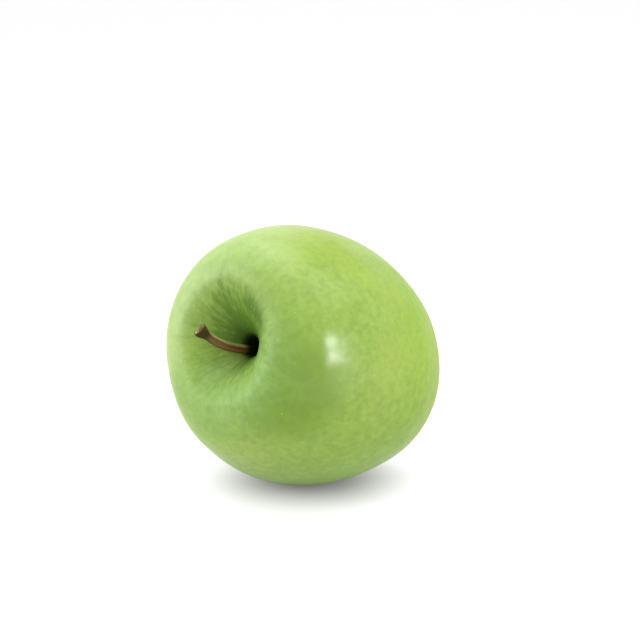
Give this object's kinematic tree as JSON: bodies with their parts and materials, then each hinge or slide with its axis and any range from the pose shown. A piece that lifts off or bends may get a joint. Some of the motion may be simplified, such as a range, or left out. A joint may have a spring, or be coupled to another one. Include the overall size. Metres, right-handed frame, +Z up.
{
  "type": "green apple",
  "caption": "Whole green apple lying on its side on a small flat spot, with a curved woody stem in its cavity and a dried calyx at the blossom end.",
  "frame": {"origin": "centre of the small flat spot on the underside, on the surface that the apple lies on", "axes": "+Z up from the surface; the core line lies in the YZ plane, with the stem end towards -Y and tipped 18.3 degrees up; +X to the right as seen from the stem end"},
  "size_m": [0.0772, 0.084, 0.0769],
  "materials": {
    "skin": "waxy satin skin, yellow-green, with pale dots and fine mottling",
    "bark": "dry red-brown bark with a pale cut end",
    "dry_sepal": "dry, downy, olive-brown",
    "dry_stamen": "dry, dark brown"
  },
  "bodies": {
    "root": {"fruit": "skin", "stem": "bark", "calyx_sepals": "dry_sepal", "calyx_stamens": "dry_stamen"}
  },
  "joints": []
}
